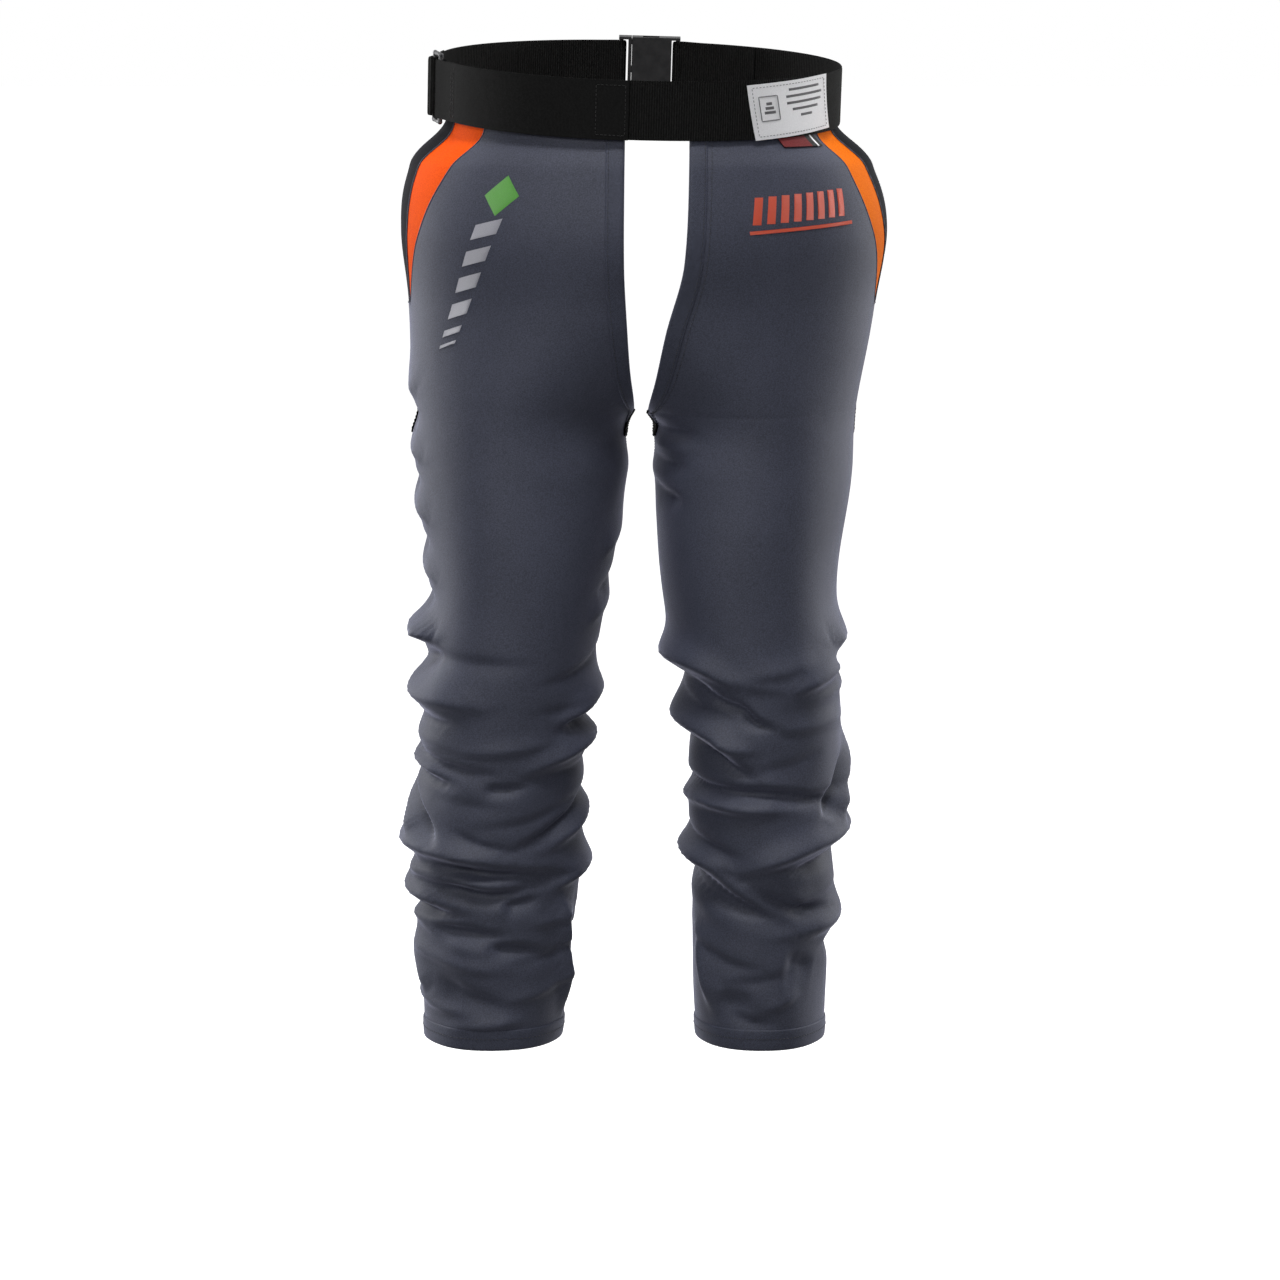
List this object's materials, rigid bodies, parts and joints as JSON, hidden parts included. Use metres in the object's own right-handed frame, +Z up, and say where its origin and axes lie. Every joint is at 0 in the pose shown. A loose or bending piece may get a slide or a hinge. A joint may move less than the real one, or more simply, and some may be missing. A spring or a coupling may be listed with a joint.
{
  "type": "chainsaw chaps",
  "caption": "Chainsaw protective chaps: webbing waist belt with a hip ring and side-release buckle, and two padded leg guards held by buckled straps behind the legs.",
  "frame": {"origin": "centre of the waist belt's loop", "axes": "+Z up when worn, -Y towards the wearer's front, +X towards the wearer's left"},
  "size_m": [0.4208, 0.2588, 0.8779],
  "materials": {
    "belt_webbing": "black ribbed polyester webbing, matte",
    "strap_webbing": "black polyester webbing, matte",
    "buckle_plastic": "black moulded acetal, fine satin texture",
    "ring_steel": "black-coated steel wire, worn bright on its edges",
    "label_cloth": null,
    "tab_cloth": "dark red and black folded ribbon",
    "shell_cloth": "dark slate blue-grey woven nylon, slight sheen",
    "orange_cloth": "high-visibility orange woven polyester",
    "binding_cloth": "dark blue-grey folded and stitched edge",
    "pad_fibre": "layers of long cut-retardant fibre",
    "lining_cloth": "grey open-mesh lining",
    "silver_thread": "silver-grey embroidery",
    "green_thread": "green embroidery",
    "orange_thread": "orange embroidery"
  },
  "bodies": {
    "belt": {"front_band": "belt_webbing", "rear_strap": "belt_webbing", "waist_plug_strap": "belt_webbing", "waist_socket": "buckle_plastic", "belt_label": "label_cloth", "size_tab": "tab_cloth", "right_hip_shell": "shell_cloth", "right_hip_pad": "pad_fibre", "right_hip_lining": "lining_cloth", "right_orange_insert": "orange_cloth", "right_rear_hip_panel": "shell_cloth", "right_crotch_binding": "binding_cloth", "right_motif_bars": "silver_thread", "right_motif_badge": "green_thread", "left_hip_shell": "shell_cloth", "left_hip_pad": "pad_fibre", "left_hip_lining": "lining_cloth", "left_orange_insert": "orange_cloth", "left_rear_hip_panel": "shell_cloth", "left_crotch_binding": "binding_cloth", "left_motif_bars": "orange_thread"},
    "ring": {"hip_ring": "ring_steel"},
    "waist_plug": {"waist_plug": "buckle_plastic"},
    "right_thigh": {"right_thigh_shell": "shell_cloth", "right_thigh_pad": "pad_fibre", "right_thigh_lining": "lining_cloth", "right_knee_shell": "shell_cloth", "right_knee_pad": "pad_fibre", "right_knee_lining": "lining_cloth", "right_thigh_straps": "strap_webbing", "right_thigh_sockets": "buckle_plastic"},
    "right_shin": {"right_shin_shell": "shell_cloth", "right_shin_pad": "pad_fibre", "right_shin_lining": "lining_cloth", "right_hem_band": "binding_cloth", "right_shin_strap": "strap_webbing", "right_shin_socket": "buckle_plastic"},
    "right_upper_plug": {"right_upper_plug": "buckle_plastic"},
    "right_middle_plug": {"right_middle_plug": "buckle_plastic"},
    "right_knee_plug": {"right_knee_plug": "buckle_plastic"},
    "right_shin_plug": {"right_shin_plug": "buckle_plastic"},
    "left_thigh": {"left_thigh_shell": "shell_cloth", "left_thigh_pad": "pad_fibre", "left_thigh_lining": "lining_cloth", "left_knee_shell": "shell_cloth", "left_knee_pad": "pad_fibre", "left_knee_lining": "lining_cloth", "left_thigh_straps": "strap_webbing", "left_thigh_sockets": "buckle_plastic"},
    "left_shin": {"left_shin_shell": "shell_cloth", "left_shin_pad": "pad_fibre", "left_shin_lining": "lining_cloth", "left_hem_band": "binding_cloth", "left_shin_strap": "strap_webbing", "left_shin_socket": "buckle_plastic"},
    "left_upper_plug": {"left_upper_plug": "buckle_plastic"},
    "left_middle_plug": {"left_middle_plug": "buckle_plastic"},
    "left_knee_plug": {"left_knee_plug": "buckle_plastic"},
    "left_shin_plug": {"left_shin_plug": "buckle_plastic"}
  },
  "joints": [
    {"name": "hip_ring_swing", "type": "hinge", "parent": "belt", "child": "ring", "pos_m": [-0.17018, -0.03108, 0.00116], "axis": [0.0277, -0.1149, 0.993], "range_deg": [-4, 4]},
    {"name": "waist_buckle_release", "type": "slide", "parent": "belt", "child": "waist_plug", "axis": [-0.9996, 0, 0.0279], "range_m": [0, 0.035], "deforming": ["waist_plug_strap"]},
    {"name": "right_hip_bend", "type": "hinge", "parent": "belt", "child": "right_thigh", "pos_m": [0, -0.025, -0.1], "axis": [-1, 0, 0], "range_deg": [-10, 25], "deforming": ["right_hip_shell", "right_hip_pad", "right_hip_lining", "right_orange_insert", "right_rear_hip_panel", "right_crotch_binding", "right_motif_bars", "right_motif_badge"]},
    {"name": "right_knee_bend", "type": "hinge", "parent": "right_thigh", "child": "right_shin", "pos_m": [0, -0.016, -0.552], "axis": [1, 0, 0], "range_deg": [0, 60], "deforming": ["right_knee_shell", "right_knee_pad", "right_knee_lining"]},
    {"name": "right_upper_buckle_release", "type": "slide", "parent": "right_thigh", "child": "right_upper_plug", "axis": [1, 0, 0], "range_m": [0, 0.022], "deforming": ["right_thigh_straps"]},
    {"name": "right_middle_buckle_release", "type": "slide", "parent": "right_thigh", "child": "right_middle_plug", "axis": [1, 0, 0], "range_m": [0, 0.022], "deforming": ["right_thigh_straps"]},
    {"name": "right_knee_buckle_release", "type": "slide", "parent": "right_thigh", "child": "right_knee_plug", "axis": [1, 0, 0], "range_m": [0, 0.022], "deforming": ["right_thigh_straps"]},
    {"name": "right_shin_buckle_release", "type": "slide", "parent": "right_shin", "child": "right_shin_plug", "axis": [1, 0, 0], "range_m": [0, 0.022], "deforming": ["right_shin_strap"]},
    {"name": "left_hip_bend", "type": "hinge", "parent": "belt", "child": "left_thigh", "pos_m": [0, -0.025, -0.1], "axis": [-1, 0, 0], "range_deg": [-10, 25], "deforming": ["left_hip_shell", "left_hip_pad", "left_hip_lining", "left_orange_insert", "left_rear_hip_panel", "left_crotch_binding", "left_motif_bars"]},
    {"name": "left_knee_bend", "type": "hinge", "parent": "left_thigh", "child": "left_shin", "pos_m": [0, -0.016, -0.552], "axis": [1, 0, 0], "range_deg": [0, 60], "deforming": ["left_knee_shell", "left_knee_pad", "left_knee_lining"]},
    {"name": "left_upper_buckle_release", "type": "slide", "parent": "left_thigh", "child": "left_upper_plug", "axis": [-1, 0, 0], "range_m": [0, 0.022], "deforming": ["left_thigh_straps"]},
    {"name": "left_middle_buckle_release", "type": "slide", "parent": "left_thigh", "child": "left_middle_plug", "axis": [-1, 0, 0], "range_m": [0, 0.022], "deforming": ["left_thigh_straps"]},
    {"name": "left_knee_buckle_release", "type": "slide", "parent": "left_thigh", "child": "left_knee_plug", "axis": [-1, 0, 0], "range_m": [0, 0.022], "deforming": ["left_thigh_straps"]},
    {"name": "left_shin_buckle_release", "type": "slide", "parent": "left_shin", "child": "left_shin_plug", "axis": [-1, 0, 0], "range_m": [0, 0.022], "deforming": ["left_shin_strap"]}
  ]
}
